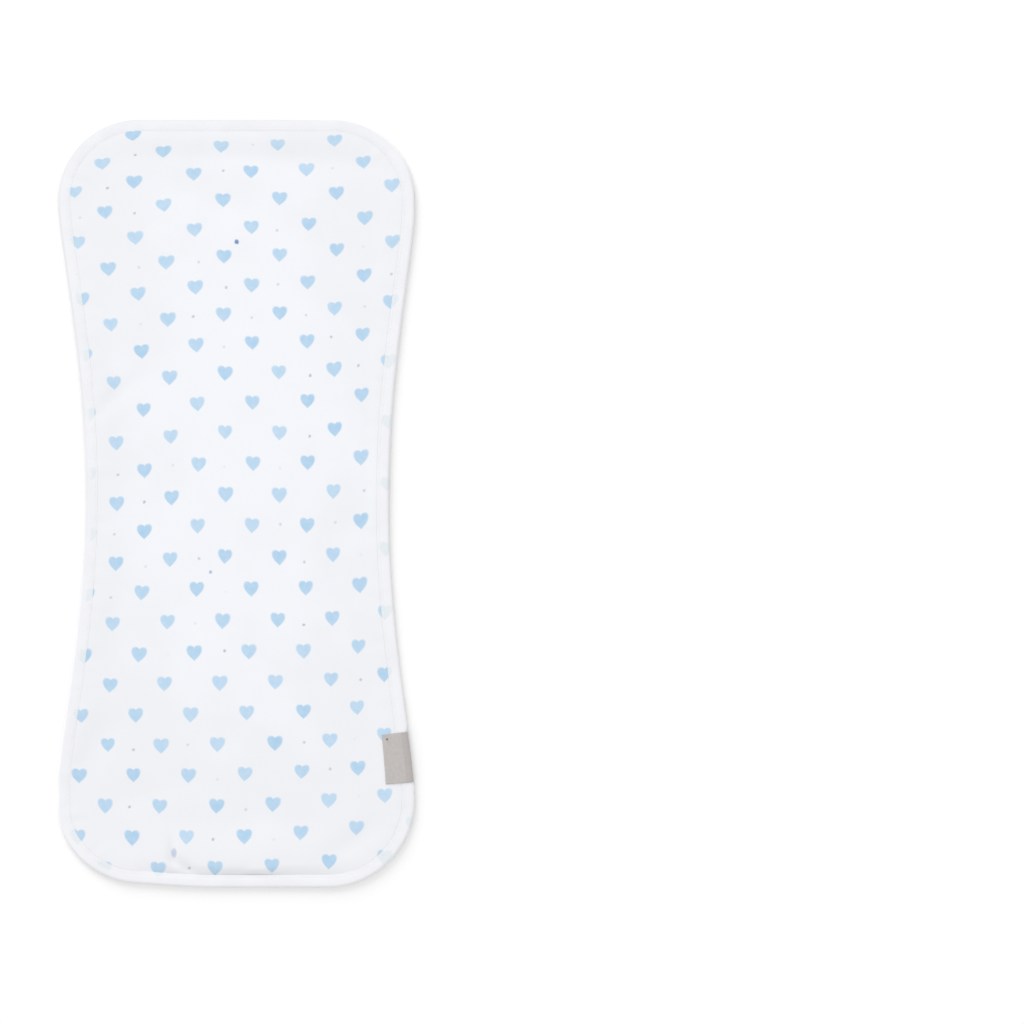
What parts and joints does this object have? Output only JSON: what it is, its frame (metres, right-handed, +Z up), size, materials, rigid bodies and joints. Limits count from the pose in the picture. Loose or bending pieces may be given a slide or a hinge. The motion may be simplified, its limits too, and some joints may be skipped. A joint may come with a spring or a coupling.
{
  "type": "burp cloth",
  "caption": "Flat hourglass-shaped cloth pad with rounded corners, a bound edge and a small folded edge label.",
  "frame": {"origin": "under the middle of the cloth, on the surface that it lies on", "axes": "+Y runs along the length towards the end away from the label, +X towards the side that carries the label, +Z up out of the printed side"},
  "size_m": [0.2468, 0.53, 0.0054],
  "materials": {
    "printed_cloth": "matt white cotton with small pale blue hearts",
    "binding_tape": "matt white, slightly sheer",
    "woven_label": "matt grey woven ribbon, bare"
  },
  "bodies": {
    "root": {"cloth": "printed_cloth", "binding": "binding_tape", "label": "woven_label"}
  },
  "joints": []
}
